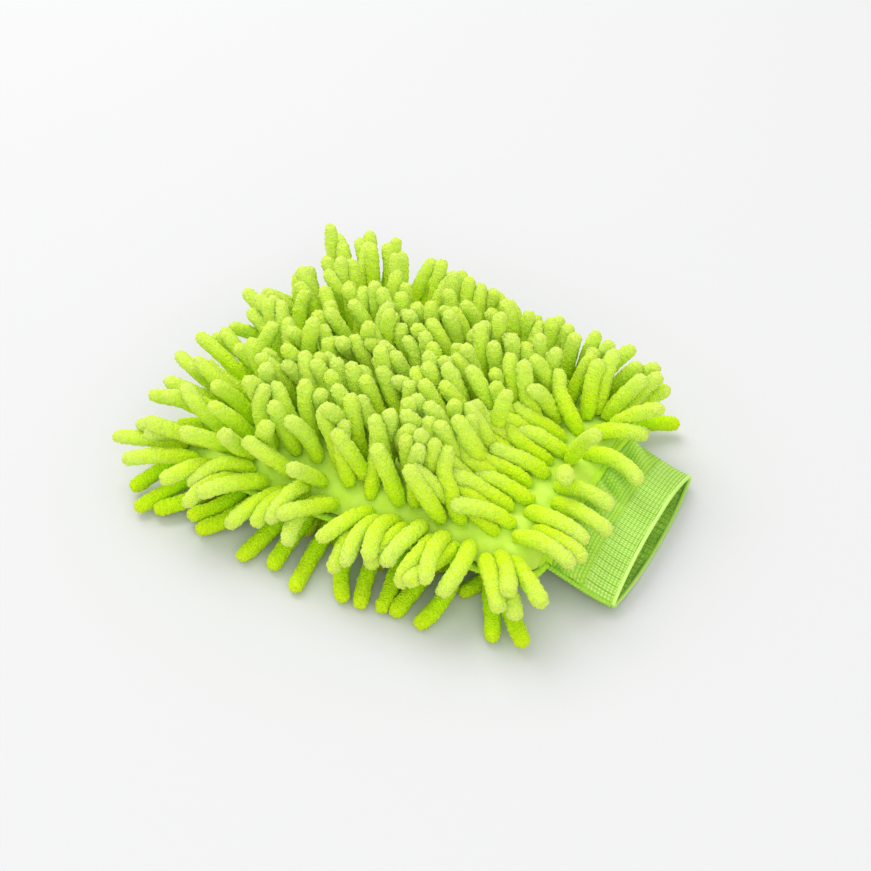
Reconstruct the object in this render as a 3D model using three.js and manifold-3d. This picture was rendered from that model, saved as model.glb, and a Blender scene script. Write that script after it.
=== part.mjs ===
// Chenille wash mitt, in millimetres: two cloth panels sewn round a hand pocket, each carrying rows of
// chenille noodles on its outer face, with a knitted cuff that ends in a broad elastic band and a rolled hem.
// +X runs from the fingertips to the cuff's mouth, Y across the hand, +Z up. The origin is the bottom centre.
import * as THREE from "three";
import { mergeVertices } from "three/addons/utils/BufferGeometryUtils.js";
import Module from "manifold-3d";

// Body of the mitt
const BODY_LENGTH = 215;
const TIP_WIDTH = 181;
const HEEL_WIDTH = 146;
const TIP_CORNER = 26;
const HEEL_CORNER = 18;
const CLOTH = 2;
const LINING = 0.8;
const LINING_GAP = 0.9;
const GAP = 0.3;

// Heights above the floor
const SEAM_HEIGHT = 20;
const MOUTH_SEAM_HEIGHT = 6.5;
const DROOP_START = 198;
const TOP_CROWN = 9.5;
const TOP_CROWN_AT_MOUTH = 7;
const BOTTOM_CROWN = 3;
const BOTTOM_CROWN_AT_MOUTH = 3.6;
const CROWN_RUN = 42;
const EDGE_ALLOWANCE = 0.5;
const BODY_EDGE = CLOTH + LINING_GAP + LINING + EDGE_ALLOWANCE;
const ACROSS = [-1, -0.8, -0.55, 0, 0.55, 0.8, 1];
const BODY_FLATNESS = 6;
const MOUTH_FLATNESS = 2.2;

// Cuff
const CUFF_WIDTH = 110;
const MOUTH_WIDTH = 108;
const JOIN_END = 218.4;
const KNIT_END = 237;
const ELASTIC_END = 252.4;
const MOUTH_X = 256;
const KNIT = 1.4;
const ELASTIC = 1.9;
const HEM = 2.6;
const HEM_SINK = 0.2;
const JOIN_HEIGHT = 0.9;
const CUFF_EDGE = KNIT + GAP;

// Seams
const SEAM_RADIUS = 2.2;
const CUFF_SEAM_RADIUS = 1.3;
const SEAM_SIDES = 6;
const SIDE_STEPS = 6;
const SIDE_RUN_IN = 8;
const HEEL_SEAM_START = 2;
const PANEL_START = 0.6;
const PANEL_INSET = 0.9;
const LINING_INSET = 3;
const TIP_STEPS = 4;
const MIDDLE_STEPS = 4;
const HEEL_STEPS = 3;

// Chenille noodles
const ROWS = 15;
const FIRST_ROW = 9;
const LAST_ROW = 205;
const NOODLE_PITCH = 18.5;
const NOODLE_RADIUS = 4.3;
const NOODLE_SIDES = 4;
const NOODLE_LENGTH = 33;
const NOODLE_RADII = [0.17, 1, 1, 0.62].map((scale) => scale * NOODLE_RADIUS);
const ROOT_DEPTH = 0.75;
const RIBBON_TAIL = 0.02;
const NECK_SHARE = 0.2;
const BEND_SHARE = 0.6;
const NECK_SAG = 2.6;
const FLOOR_SPREAD = 33;
const FLOOR_CLEARANCE = 0.2;
const LEAN = 0.15;
const TIP_LEAN = 1.1;
const TIP_LEAN_RUN = 60;
const CUFF_LEAN = 1.5;
const CUFF_LEAN_START = 188;
const CUFF_DROP = 0.75;
const SIDE_LEAN = 1.9;
const SIDE_LEAN_POWER = 5;
const SIDE_DROP = 1.6;
const SIDE_DROP_START = 0.75;
const CURL = 1.3;
const RIBBON_WIDTH = 3;
const RIBBON = 1.2;
const RIBBON_GAP = 0.5;
const EDGE_REACH = 0.93;
const FLOOR_REACH = 0.86;
const SQUASHED_RADII = [0.75, 5.8, 5.8];
const SQUASHED_NECK = 4;

const COLOURS = {
  noodle: 0xb8e02a,
  cloth: 0xb4dc3c,
  lining: 0xd8e8b0,
  knit: 0x98d040,
  elastic: 0xa6dc50,
  thread: 0xa8d838,
};

const wasm = await Module();
wasm.setup();
const mitt = new THREE.Group();

const { lerp, smoothstep, clamp } = THREE.MathUtils;

// Adds one closed body to the mitt, with a material of its own.
function addPiece(name, geometry, colour, roughness = 0.95) {
  const material = new THREE.MeshStandardMaterial({ color: colour, roughness, metalness: 0 });
  const mesh = new THREE.Mesh(geometry, material);
  mesh.name = name;
  mitt.add(mesh);
}

// How far a rounded corner of the given radius draws the edge in, at a distance from the corner's end.
function cornerInset(distance, radius) {
  if (distance >= radius) return 0;
  return radius - Math.sqrt(radius ** 2 - (radius - distance) ** 2);
}

// Half the mitt's width at a place along it.
function halfWidth(x) {
  if (x > BODY_LENGTH) {
    const along = (x - BODY_LENGTH) / (MOUTH_X - BODY_LENGTH);
    return lerp(CUFF_WIDTH, MOUTH_WIDTH, along) / 2;
  }
  const side = lerp(TIP_WIDTH, HEEL_WIDTH, x / BODY_LENGTH) / 2;
  return side - cornerInset(x, TIP_CORNER) - cornerInset(BODY_LENGTH - x, HEEL_CORNER);
}

// Height of the side seams: level along the body, then drooping to the floor along the cuff.
function seamHeight(x) {
  return lerp(SEAM_HEIGHT, MOUTH_SEAM_HEIGHT, smoothstep(x, DROOP_START, MOUTH_X));
}

// The arch across the hand, from 1 in the middle to 0 at the seams, straight between the places in ACROSS.
function arch(u, flatness) {
  const next = Math.max(1, ACROSS.findIndex((place) => place >= u));
  const [start, end] = [ACROSS[next - 1], ACROSS[next]];
  const height = (place) => 1 - Math.abs(place) ** flatness;
  return lerp(height(start), height(end), (u - start) / (end - start));
}

// How far the outer face stands above (side 1) or below (side -1) the seam line. u runs across from -1 to 1.
function bulge(x, u, side) {
  const toMouth = smoothstep(x, DROOP_START, MOUTH_X);
  const crown = side > 0
    ? lerp(TOP_CROWN, TOP_CROWN_AT_MOUTH, toMouth)
    : lerp(BOTTOM_CROWN, BOTTOM_CROWN_AT_MOUTH, toMouth);
  const flatness = lerp(BODY_FLATNESS, MOUTH_FLATNESS, toMouth);
  const edge = lerp(BODY_EDGE, CUFF_EDGE, toMouth);
  const fromTip = Math.sin((Math.PI / 2) * clamp(x / CROWN_RUN, 0, 1));
  return edge + crown * fromTip * arch(u, flatness);
}

// A point on the outer face, or the given distance outside it.
function facePoint(x, u, side, outside = 0, inset = PANEL_INSET) {
  const y = u * (halfWidth(x) - inset);
  return new THREE.Vector3(x, y, seamHeight(x) + side * (bulge(x, u, side) + outside));
}

// Evenly spaced numbers from first to last.
function spread(first, last, steps) {
  return Array.from({ length: steps + 1 }, (_, i) => lerp(first, last, i / steps));
}

// A sheet bent to the outer face between two distances outside it (negative is inside).
function sheet(xs, us, side, inner, outer, inset = PANEL_INSET) {
  const geometry = new THREE.BoxGeometry(1, 1, 1, xs.length - 1, us.length - 1, 1);
  const place = geometry.attributes.position;
  for (let i = 0; i < place.count; i += 1) {
    const x = xs[Math.round((place.getX(i) + 0.5) * (xs.length - 1))];
    const u = us[Math.round((place.getY(i) + 0.5) * (us.length - 1))];
    const upper = place.getZ(i) > 0;
    const outside = upper === side > 0 ? outer : inner;
    const point = facePoint(x, u, side, outside, inset);
    place.setXYZ(i, point.x, point.y, point.z);
  }
  return geometry;
}

// A tube with closed ends along a line of points.
function seamTube(points, radius) {
  const corners = Array.from({ length: SEAM_SIDES }, (_, i) => {
    const angle = (2 * Math.PI * i) / SEAM_SIDES;
    return new THREE.Vector2(radius * Math.cos(angle), radius * Math.sin(angle));
  });
  return new THREE.ExtrudeGeometry(new THREE.Shape(corners), {
    steps: points.length - 1,
    extrudePath: new THREE.CatmullRomCurve3(points),
    bevelEnabled: false,
  });
}

// A noodle swept through its stations, from its pinched root to its tip. Each station has its own radius.
function noodle(stations, radii) {
  const steps = stations.length - 1;
  const geometry = new THREE.CylinderGeometry(1, 1, 1, NOODLE_SIDES, steps);
  const place = geometry.attributes.position;
  const lean = stations[steps].clone().sub(stations[0]).normalize();
  const alongX = Math.abs(lean.x) > Math.abs(lean.y);
  const helper = new THREE.Vector3(alongX ? 0 : 1, alongX ? 1 : 0, 0);
  const across = new THREE.Vector3();
  const around = new THREE.Vector3();
  for (let i = 0; i < place.count; i += 1) {
    const k = Math.round((place.getY(i) + 0.5) * steps);
    const before = stations[Math.max(k - 1, 0)];
    const after = stations[Math.min(k + 1, steps)];
    const along = after.clone().sub(before).normalize();
    across.copy(helper).addScaledVector(along, -helper.dot(along)).normalize();
    around.crossVectors(across, along);
    const point = stations[k].clone();
    point.addScaledVector(across, radii[k] * place.getX(i));
    point.addScaledVector(around, radii[k] * place.getZ(i));
    place.setXYZ(i, point.x, point.y, point.z);
  }
  return geometry;
}

// Joins closed geometries that meet into one closed body.
function joined(geometries) {
  const solids = geometries.map((geometry) => {
    geometry.deleteAttribute("normal");
    geometry.deleteAttribute("uv");
    const merged = mergeVertices(geometry);
    const vertProperties = new Float32Array(merged.attributes.position.array);
    const triVerts = new Uint32Array(merged.index.array);
    return new wasm.Manifold(new wasm.Mesh({ numProp: 3, vertProperties, triVerts }));
  });
  const whole = solids.reduce((sum, solid) => sum.add(solid)).getMesh();
  const geometry = new THREE.BufferGeometry();
  geometry.setAttribute("position", new THREE.BufferAttribute(whole.vertProperties, 3));
  geometry.setIndex(new THREE.BufferAttribute(whole.triVerts, 1));
  return geometry;
}

// Places along the body, closer together round the corners.
function bodyPlaces(start, end) {
  const tip = spread(0, Math.PI / 2, TIP_STEPS).map((angle) => start + TIP_CORNER * (1 - Math.cos(angle)));
  const middle = spread(TIP_CORNER + start, BODY_LENGTH - HEEL_CORNER, MIDDLE_STEPS).slice(1, -1);
  const heel = spread(0, Math.PI / 2, HEEL_STEPS).map((angle) => end - HEEL_CORNER * (1 - Math.sin(angle)));
  return [...tip, ...middle, ...heel];
}

function addPanels() {
  const xs = bodyPlaces(PANEL_START, BODY_LENGTH - GAP);
  const liningXs = bodyPlaces(PANEL_START + LINING_INSET, BODY_LENGTH - GAP);
  for (const [name, side] of [["top", 1], ["bottom", -1]]) {
    addPiece(`${name}_cloth`, sheet(xs, ACROSS, side, -CLOTH, 0), COLOURS.cloth);
    const liningOut = -CLOTH - LINING_GAP;
    const lining = sheet(liningXs, ACROSS, side, liningOut - LINING, liningOut, LINING_INSET);
    addPiece(`${name}_lining`, lining, COLOURS.lining);
  }
}

// Line of the body's edge, a little outside the cloth, from the heel to the start of the fingertip end.
function sideLine(sign) {
  const outside = SEAM_RADIUS + GAP - PANEL_INSET;
  const heelEnd = BODY_LENGTH - HEEL_CORNER - HEEL_SEAM_START;
  const straight = spread(heelEnd, TIP_CORNER + SIDE_RUN_IN, SIDE_STEPS).map((x) =>
    new THREE.Vector3(x, sign * (halfWidth(x) + outside), SEAM_HEIGHT));
  const centreY = halfWidth(TIP_CORNER) - TIP_CORNER;
  const corner = spread(0, Math.PI / 2, SIDE_STEPS).map((angle) => {
    const reach = TIP_CORNER + outside + PANEL_START;
    const x = TIP_CORNER - reach * Math.sin(angle);
    return new THREE.Vector3(x, sign * (centreY + reach * Math.cos(angle)), SEAM_HEIGHT);
  });
  return [...straight, ...corner];
}

function addSeams() {
  const left = sideLine(-1);
  const right = sideLine(1);
  addPiece("left_side_seam", seamTube(left, SEAM_RADIUS), COLOURS.thread);
  addPiece("right_side_seam", seamTube(right, SEAM_RADIUS), COLOURS.thread);
  const start = left.at(-1).clone();
  const end = right.at(-1).clone();
  start.y += GAP;
  end.y -= GAP;
  const middle = start.clone().lerp(end, 0.5);
  addPiece("fingertip_seam", seamTube([start, middle, end], SEAM_RADIUS), COLOURS.thread);
  for (const [name, sign] of [["left", -1], ["right", 1]]) {
    const line = spread(JOIN_END, MOUTH_X, 5).map((x) =>
      new THREE.Vector3(x, sign * (halfWidth(x) + CUFF_SEAM_RADIUS + GAP - PANEL_INSET), seamHeight(x)));
    addPiece(`cuff_${name}_seam`, seamTube(line, CUFF_SEAM_RADIUS), COLOURS.thread);
  }
}

function addCuff() {
  for (const [name, side] of [["top", 1], ["bottom", -1]]) {
    const join = sheet([BODY_LENGTH, JOIN_END], ACROSS, side, -KNIT, JOIN_HEIGHT);
    addPiece(`cuff_join_${name}`, join, COLOURS.thread);
    const knit = sheet(spread(JOIN_END + GAP, KNIT_END, 3), ACROSS, side, -KNIT, 0);
    addPiece(`cuff_knit_${name}`, knit, COLOURS.knit);
    const elastic = sheet(spread(KNIT_END + GAP, ELASTIC_END, 2), ACROSS, side, -KNIT, ELASTIC - KNIT);
    addPiece(`cuff_elastic_${name}`, elastic, COLOURS.elastic);
    const hem = sheet([ELASTIC_END + GAP, MOUTH_X], ACROSS, side, -KNIT - HEM_SINK, HEM - KNIT - HEM_SINK);
    addPiece(`cuff_hem_${name}`, hem, COLOURS.elastic);
  }
}

// Places across a row, staggered from one row to the next.
function rowPlaces(x, row, reach) {
  const half = (halfWidth(x) - PANEL_INSET) * reach;
  const count = Math.floor((2 * half) / NOODLE_PITCH) - (row % 2);
  return spread(-reach, reach, count);
}

// The stations of a noodle that leaves its root one way and ends up leaning another way.
function bentStations(root, first, last, length) {
  const neck = root.clone().addScaledVector(first.normalize(), length * NECK_SHARE);
  const middle = root.clone().addScaledVector(first, length * BEND_SHARE);
  const tip = middle.clone().addScaledVector(last.normalize(), length * (1 - BEND_SHARE));
  return [root, neck, middle, tip];
}

// A noodle of the top panel: upright in the middle, arching out over the edges and the cuff.
function topNoodle(x, u) {
  const root = facePoint(x, u, 1, RIBBON_GAP + RIBBON * ROOT_DEPTH);
  const toTip = 1 - smoothstep(x, 0, TIP_LEAN_RUN);
  const toCuff = smoothstep(x, CUFF_LEAN_START, LAST_ROW);
  const leanX = CUFF_LEAN * toCuff - TIP_LEAN * toTip - LEAN;
  const leanY = SIDE_LEAN * Math.sign(u) * Math.abs(u) ** SIDE_LEAN_POWER;
  const edge = smoothstep(Math.abs(u), SIDE_DROP_START, EDGE_REACH);
  const drop = SIDE_DROP * edge + CUFF_DROP * toCuff;
  const first = new THREE.Vector3(leanX, leanY, 1);
  const last = new THREE.Vector3(leanX * CURL, leanY * CURL, 1 - drop);
  return noodle(bentStations(root, first, last, NOODLE_LENGTH), NOODLE_RADII);
}

// A noodle of the bottom panel: squashed flat under the hand, spread out past the edges.
function bottomNoodle(x, u) {
  const root = facePoint(x, u, -1, RIBBON_GAP + RIBBON * ROOT_DEPTH);
  const outer = Math.abs(u) === FLOOR_REACH;
  if (!outer) {
    const neck = new THREE.Vector3(root.x, root.y, root.z - SQUASHED_NECK);
    const foot = new THREE.Vector3(root.x, root.y, 0);
    return noodle([root, neck, foot], SQUASHED_RADII);
  }
  const out = Math.sign(u);
  const floor = new THREE.Vector3(root.x, root.y + out * FLOOR_SPREAD, NOODLE_RADIUS + FLOOR_CLEARANCE);
  const neck = root.clone().lerp(floor, NECK_SHARE);
  const middle = root.clone().lerp(floor, BEND_SHARE);
  neck.z -= NECK_SAG;
  middle.z -= NECK_SAG / 2;
  return noodle([root, neck, middle, floor], NOODLE_RADII);
}

// One sewn row: the noodles stand on a narrow backing ribbon that follows the cloth.
function addRow(row, name, side, reach, makeNoodle) {
  const x = lerp(FIRST_ROW, LAST_ROW, row / (ROWS - 1));
  const places = rowPlaces(x, row, reach);
  const xs = [x - RIBBON_WIDTH / 2, x + RIBBON_WIDTH / 2];
  const end = reach + RIBBON_TAIL;
  const us = [-end, ...ACROSS.slice(1, -1), end];
  const ribbon = sheet(xs, us, side, RIBBON_GAP, RIBBON_GAP + RIBBON);
  const noodles = places.map((u) => makeNoodle(x, u));
  const number = String(row + 1).padStart(2, "0");
  addPiece(`${name}_noodles_${number}`, joined([ribbon, ...noodles]), COLOURS.noodle, 1);
}

addPanels();
addSeams();
addCuff();
for (let row = 0; row < ROWS; row += 1) {
  addRow(row, "top", 1, EDGE_REACH, topNoodle);
  addRow(row, "bottom", -1, FLOOR_REACH, bottomNoodle);
}

// The origin goes to the bottom centre of the whole mitt.
mitt.updateMatrixWorld(true);
const box = new THREE.Box3().setFromObject(mitt, true);
const centre = box.getCenter(new THREE.Vector3());
mitt.position.set(-centre.x, -centre.y, -box.min.z);

export default mitt;
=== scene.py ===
"""Chenille wash mitt: rows of soft noodles on a cloth body with a knitted elastic cuff, on a pale floor."""
import logging
import math
from dataclasses import dataclass, field
from enum import Enum
from typing import Any, Callable, Union

import bmesh
import bpy
import numpy as np
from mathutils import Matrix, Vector


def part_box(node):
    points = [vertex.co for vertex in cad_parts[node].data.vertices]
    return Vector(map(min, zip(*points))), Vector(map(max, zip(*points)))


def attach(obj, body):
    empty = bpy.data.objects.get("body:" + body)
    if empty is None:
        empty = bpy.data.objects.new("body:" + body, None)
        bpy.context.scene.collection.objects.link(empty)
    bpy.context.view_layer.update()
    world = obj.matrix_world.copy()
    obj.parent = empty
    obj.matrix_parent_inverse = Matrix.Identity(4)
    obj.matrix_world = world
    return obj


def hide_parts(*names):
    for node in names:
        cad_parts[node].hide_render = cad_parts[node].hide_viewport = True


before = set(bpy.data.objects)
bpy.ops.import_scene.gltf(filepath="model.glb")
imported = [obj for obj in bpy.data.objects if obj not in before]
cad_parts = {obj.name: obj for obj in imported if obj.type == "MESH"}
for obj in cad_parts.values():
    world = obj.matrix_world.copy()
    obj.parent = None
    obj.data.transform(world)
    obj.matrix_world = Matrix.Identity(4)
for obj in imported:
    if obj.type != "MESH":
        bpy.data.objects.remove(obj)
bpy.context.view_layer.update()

MM = 0.001
SEED = 11
Array = np.ndarray
Piece = bpy.types.Object
Material = bpy.types.Material
Socket = bpy.types.NodeSocket
Number = Union[float, "Value"]
Colour = tuple[float, float, float]
Stops = list[tuple[float, Colour]]
Lean = tuple[list[float], list[float], float]
Relief = Callable[[Array, Array], tuple[Array, Array]]

logging.basicConfig(level=logging.INFO, format="%(name)s: %(message)s")
log = logging.getLogger("wash_mitt")


class Face(Enum):
    """The two faces of the mitt, with the direction that each one looks."""

    TOP = 1
    BOTTOM = -1


class Slot(Enum):
    """The record's material slots."""

    CHENILLE = "chenille"
    CLOTH = "base_cloth"
    LINING = "lining_cloth"
    KNIT = "cuff_knit"
    ELASTIC = "cuff_elastic"
    THREAD = "seam_thread"


# ---- small maths


def smooth(value: Array, start: float, end: float) -> Array:
    """Eases from 0 at start to 1 at end."""
    t = np.clip((np.asarray(value, float) - start) / (end - start), 0.0, 1.0)
    return t * t * (3.0 - 2.0 * t)


def blend(a: Array, b: Array, share: Array) -> Array:
    """The value a share of the way from a to b."""
    return a + (b - a) * share


def unit(vectors: Array) -> Array:
    """Vectors of the same direction and length 1."""
    return vectors / np.maximum(np.linalg.norm(vectors, axis=-1, keepdims=True), 1e-12)


# ---- the mitt's form


@dataclass
class MittForm:
    """The curved form of the cloth body and cuff, hung on the frame's own boxes.

    All lengths are in metres; x is the frame's x, and u runs across the hand from -1 to 1.
    """

    tip_x: float = 0.0
    heel_x: float = 0.0
    mouth_x: float = 0.0
    tip_half: float = 90.5 * MM
    heel_half: float = 73.0 * MM
    cuff_half: float = 55.0 * MM
    mouth_half: float = 54.0 * MM
    tip_corner: float = 26.0 * MM
    heel_corner: float = 18.0 * MM
    droop_start: float = 17.0 * MM
    seam_z: float = 20.0 * MM
    mouth_z: float = 6.5 * MM
    body_edge: float = 4.2 * MM
    cuff_edge: float = 1.7 * MM
    crown_run: float = 42.0 * MM
    crowns: dict[Face, tuple[float, float]] = field(
        default_factory=lambda: {Face.TOP: (9.5 * MM, 10.6 * MM), Face.BOTTOM: (3.0 * MM, 3.6 * MM)}
    )
    bows: dict[Face, float] = field(default_factory=lambda: {Face.TOP: -0.8 * MM, Face.BOTTOM: 2.8 * MM})

    def __post_init__(self) -> None:
        """Reads where the body starts, where the cuff is sewn on and where its mouth is."""
        self.tip_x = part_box("top_cloth")[0].x - 0.6 * MM
        self.heel_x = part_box("cuff_join_top")[0].x
        self.mouth_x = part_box("cuff_hem_top")[1].x

    @staticmethod
    def _corner(distance: Array, radius: float) -> Array:
        """How far a rounded corner draws the edge in, at a distance from the corner's end."""
        inside = np.clip(radius - distance, 0.0, radius)
        return radius - np.sqrt(radius**2 - inside**2)

    def half_width(self, x: Array) -> Array:
        """Half the width of the cloth at x."""
        x = np.asarray(x, float)
        side = blend(self.tip_half, self.heel_half, (x - self.tip_x) / (self.heel_x - self.tip_x))
        side = side - self._corner(x - self.tip_x, self.tip_corner)
        side = side - self._corner(self.heel_x - x, self.heel_corner)
        cuff = blend(self.cuff_half, self.mouth_half, (x - self.heel_x) / (self.mouth_x - self.heel_x))
        return np.where(x > self.heel_x, cuff, side)

    def to_mouth(self, x: Array) -> Array:
        """0 on the body, easing to 1 at the cuff's mouth."""
        return smooth(x, self.heel_x - self.droop_start, self.mouth_x)

    def seam_height(self, x: Array) -> Array:
        """Height of the side seams: level along the body, drooping to the floor along the cuff."""
        return blend(self.seam_z, self.mouth_z, self.to_mouth(x))

    def bulge(self, x: Array, u: Array, face: Face) -> Array:
        """How far the outer face stands from the height of the seams."""
        body_crown, mouth_crown = self.crowns[face]
        share = self.to_mouth(x)
        crown = blend(body_crown, mouth_crown, share)
        flatness = blend(6.0, 2.8, share)
        edge = blend(self.body_edge, self.cuff_edge, share)
        from_tip = np.sin(0.5 * np.pi * np.clip((x - self.tip_x) / self.crown_run, 0.0, 1.0))
        arch = 1.0 - np.clip(np.abs(u), 0.0, 1.0) ** flatness
        return edge + crown * from_tip * arch

    def face_height(self, x: Array, u: Array, face: Face) -> Array:
        """Height of the outer face above the floor."""
        return self.seam_height(x) + face.value * self.bulge(x, u, face)

    def face_point(self, x: Array, u: Array, face: Face, outside: Array = 0.0) -> Array:
        """Points on the outer face, or the given distance outside it."""
        x, u = np.broadcast_arrays(np.asarray(x, float), np.asarray(u, float))
        z = self.face_height(x, u, face) + face.value * outside
        bowed = x + self.bows[face] * self.to_mouth(x) ** 2 * (1.0 - np.clip(u, -1.0, 1.0) ** 2)
        return np.stack([bowed, u * self.half_width(x), z], axis=-1)


# ---- shader writing


class Value:
    """A number on a shader socket; sums written with it become Math nodes."""

    def __init__(self, dye: "Dye", socket: Socket) -> None:
        """Keeps the socket and the material it is in."""
        self.dye = dye
        self.socket = socket

    def _sum(self, operation: str, first: Number, second: Number) -> "Value":
        """Adds one Math node."""
        node = self.dye.node("ShaderNodeMath", {"operation": operation}, {0: first, 1: second})
        return Value(self.dye, node.outputs[0])

    def __add__(self, other: Number) -> "Value":
        """self + other."""
        return self._sum("ADD", self, other)

    def __sub__(self, other: Number) -> "Value":
        """self - other."""
        return self._sum("SUBTRACT", self, other)

    def __rsub__(self, other: Number) -> "Value":
        """other - self."""
        return self._sum("SUBTRACT", other, self)

    def __mul__(self, other: Number) -> "Value":
        """self * other."""
        return self._sum("MULTIPLY", self, other)

    def sine(self) -> "Value":
        """The sine of the value."""
        return self._sum("SINE", self, 0.0)

    def clipped(self) -> "Value":
        """The value held between 0 and 1."""
        return self._sum("MINIMUM", self._sum("MAXIMUM", self, 0.0), 1.0)


class Dye:
    """One material while it is being written."""

    def __init__(self, name: str) -> None:
        """Starts an empty node material with one Principled shader."""
        self.material = bpy.data.materials.new(name)
        self.material.use_nodes = True
        self.tree = self.material.node_tree
        self.tree.nodes.clear()
        self.shader = self.node("ShaderNodeBsdfPrincipled")
        output = self.node("ShaderNodeOutputMaterial")
        self.tree.links.new(self.shader.outputs[0], output.inputs["Surface"])

    def node(
        self, kind: str, settings: dict[str, Any] | None = None, inputs: dict[Any, Any] | None = None
    ) -> bpy.types.Node:
        """Adds a node.

        Args:
            kind: the node's type.
            settings: its own settings, set before its sockets.
            inputs: values, or sockets and Values to link, by socket name or number.

        Returns:
            The new node.
        """
        node = self.tree.nodes.new(kind)
        for name, value in (settings or {}).items():
            if name == "stops":
                self._set_stops(node, value)
            else:
                setattr(node, name, value)
        for key, value in (inputs or {}).items():
            self.feed(node.inputs[key], value)
        return node

    @staticmethod
    def _set_stops(node: bpy.types.Node, stops: Stops) -> None:
        """Sets a colour ramp's stops."""
        ramp = node.color_ramp.elements
        while len(ramp) < len(stops):
            ramp.new(0.5)
        for element, (position, colour) in zip(ramp, stops):
            element.position = position
            element.color = (*colour, 1.0)

    def feed(self, socket: Socket, value: Any) -> None:
        """Links a Value or an output socket to the socket, or sets a plain value on it."""
        if isinstance(value, Value):
            self.tree.links.new(value.socket, socket)
        elif isinstance(value, Socket):
            self.tree.links.new(value, socket)
        else:
            socket.default_value = value

    def place(self) -> Socket:
        """The point on the object, in metres."""
        return self.node("ShaderNodeTexCoord").outputs["Object"]

    def noise(self, scale: float, detail: float = 2.0) -> Value:
        """Soft random spots; scale is the number of spots in a metre."""
        inputs = {"Vector": self.place(), "Scale": scale, "Detail": detail}
        return Value(self, self.node("ShaderNodeTexNoise", {}, inputs).outputs[0])

    def cells(self, scale: float) -> Value:
        """Small round tufts, 1 in their middles; scale is the number of tufts in a metre."""
        node = self.node("ShaderNodeTexVoronoi", {"feature": "F1"}, {"Vector": self.place(), "Scale": scale})
        return (1.0 - Value(self, node.outputs["Distance"])).clipped()

    def stored(self, name: str) -> Value:
        """A number stored on the mesh."""
        return Value(self, self.node("ShaderNodeAttribute", {"attribute_name": name}).outputs["Fac"])

    def run(self) -> tuple[Value, Value]:
        """The two ways over the surface, from its own map."""
        mapped = self.node("ShaderNodeUVMap", {"uv_map": "Run"})
        split = self.node("ShaderNodeSeparateXYZ", {}, {0: mapped.outputs[0]})
        return Value(self, split.outputs[0]), Value(self, split.outputs[1])

    def ramp(self, value: Value, stops: Stops) -> Socket:
        """A colour read off the stops."""
        return self.node("ShaderNodeValToRGB", {"stops": stops}, {0: value}).outputs[0]

    def bump(self, height: Value, depth: float, strength: float) -> None:
        """Makes the height show as relief of the given depth, in metres."""
        node = self.node("ShaderNodeBump", {}, {"Height": height, "Distance": depth, "Strength": strength})
        self.feed(self.shader.inputs["Normal"], node.outputs[0])

    def finish(self, colour: Socket, roughness: float, sheen: float) -> Material:
        """Sets the shader's own sockets and gives the material back."""
        self.feed(self.shader.inputs["Base Color"], colour)
        self.feed(self.shader.inputs["Roughness"], roughness)
        self.shader.inputs["Sheen Weight"].default_value = sheen
        self.shader.inputs["Sheen Roughness"].default_value = 0.5
        self.shader.inputs["Sheen Tint"].default_value = (0.8, 1.0, 0.35, 1.0)
        self.shader.inputs["Specular IOR Level"].default_value = 0.15
        return self.material


@dataclass(frozen=True)
class Chenille:
    """Fluffy pile of the noodles, ringed along the noodle: painted shade deepens the colour at the root and
    in the ring grooves, and a painted highlight makes the tip paler.
    """

    # deep is painted shade (roots, ring grooves, bottom face) and pale a painted highlight (tips); body is
    # the pile's own colour, and random tufts and fuzz move the tone between them.
    deep: Colour = (0.48, 0.85, 0.001)
    body: Colour = (0.66, 0.93, 0.010)
    pale: Colour = (0.71, 0.93, 0.22)
    rings: float = 27.0
    ring_jitter: float = 16.0
    fuzz_per_metre: float = 900.0
    tufts_per_metre: float = 420.0
    pile_depth: float = 1.1 * MM
    roughness: float = 0.92
    sheen: float = 0.08
    glow_share: float = 0.65
    glow_depth: float = 6.0 * MM
    glow_spread: Colour = (1.0, 1.0, 0.25)

    def make(self) -> Material:
        """Builds the material."""
        dye = Dye("chenille_pile")
        _, along = dye.run()
        fuzz = dye.cells(self.fuzz_per_metre)
        tuft = dye.noise(self.tufts_per_metre)
        ring = (along * (self.rings * math.tau) + tuft * self.ring_jitter).sine() * 0.5 + 0.5
        # Painted light: reach darkens the roots as shade and lightens the tips as a highlight; the stored
        # tone is random for each noodle, with painted shade on the bottom face.
        lift = dye.stored("reach") * 0.36 + dye.stored("shade") * 0.10
        # ring * 0.08 darkens the grooves between the rings as painted shade.
        lift = lift + tuft * 0.28 + fuzz * 0.20 + ring * 0.08
        colour = dye.ramp(lift, [(0.12, self.deep), (0.42, self.body), (0.86, self.pale)])
        dye.bump(ring * 0.30 + fuzz * 0.8 + tuft * 0.7, self.pile_depth, 0.9)
        dye.feed(dye.shader.inputs["Subsurface Weight"], self.glow_share)
        dye.feed(dye.shader.inputs["Subsurface Scale"], self.glow_depth)
        dye.feed(dye.shader.inputs["Subsurface Radius"], self.glow_spread)
        return dye.finish(colour, self.roughness, self.sheen)


@dataclass(frozen=True)
class Fleece:
    """Brushed base cloth: short matt nap with faint streaks."""

    deep: Colour = (0.53, 0.78, 0.03)
    pale: Colour = (0.68, 0.90, 0.13)
    naps_per_metre: float = 2600.0
    streaks_per_metre: float = 160.0
    nap_depth: float = 0.25 * MM
    roughness: float = 0.95
    sheen: float = 0.4

    def make(self) -> Material:
        """Builds the material."""
        dye = Dye("brushed_fleece")
        nap = dye.noise(self.naps_per_metre)
        cloud = dye.noise(self.streaks_per_metre, 3.0)
        colour = dye.ramp(cloud * 0.7 + nap * 0.35, [(0.25, self.deep), (0.75, self.pale)])
        dye.bump(nap + cloud * 0.6, self.nap_depth, 0.7)
        return dye.finish(colour, self.roughness, self.sheen)


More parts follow.
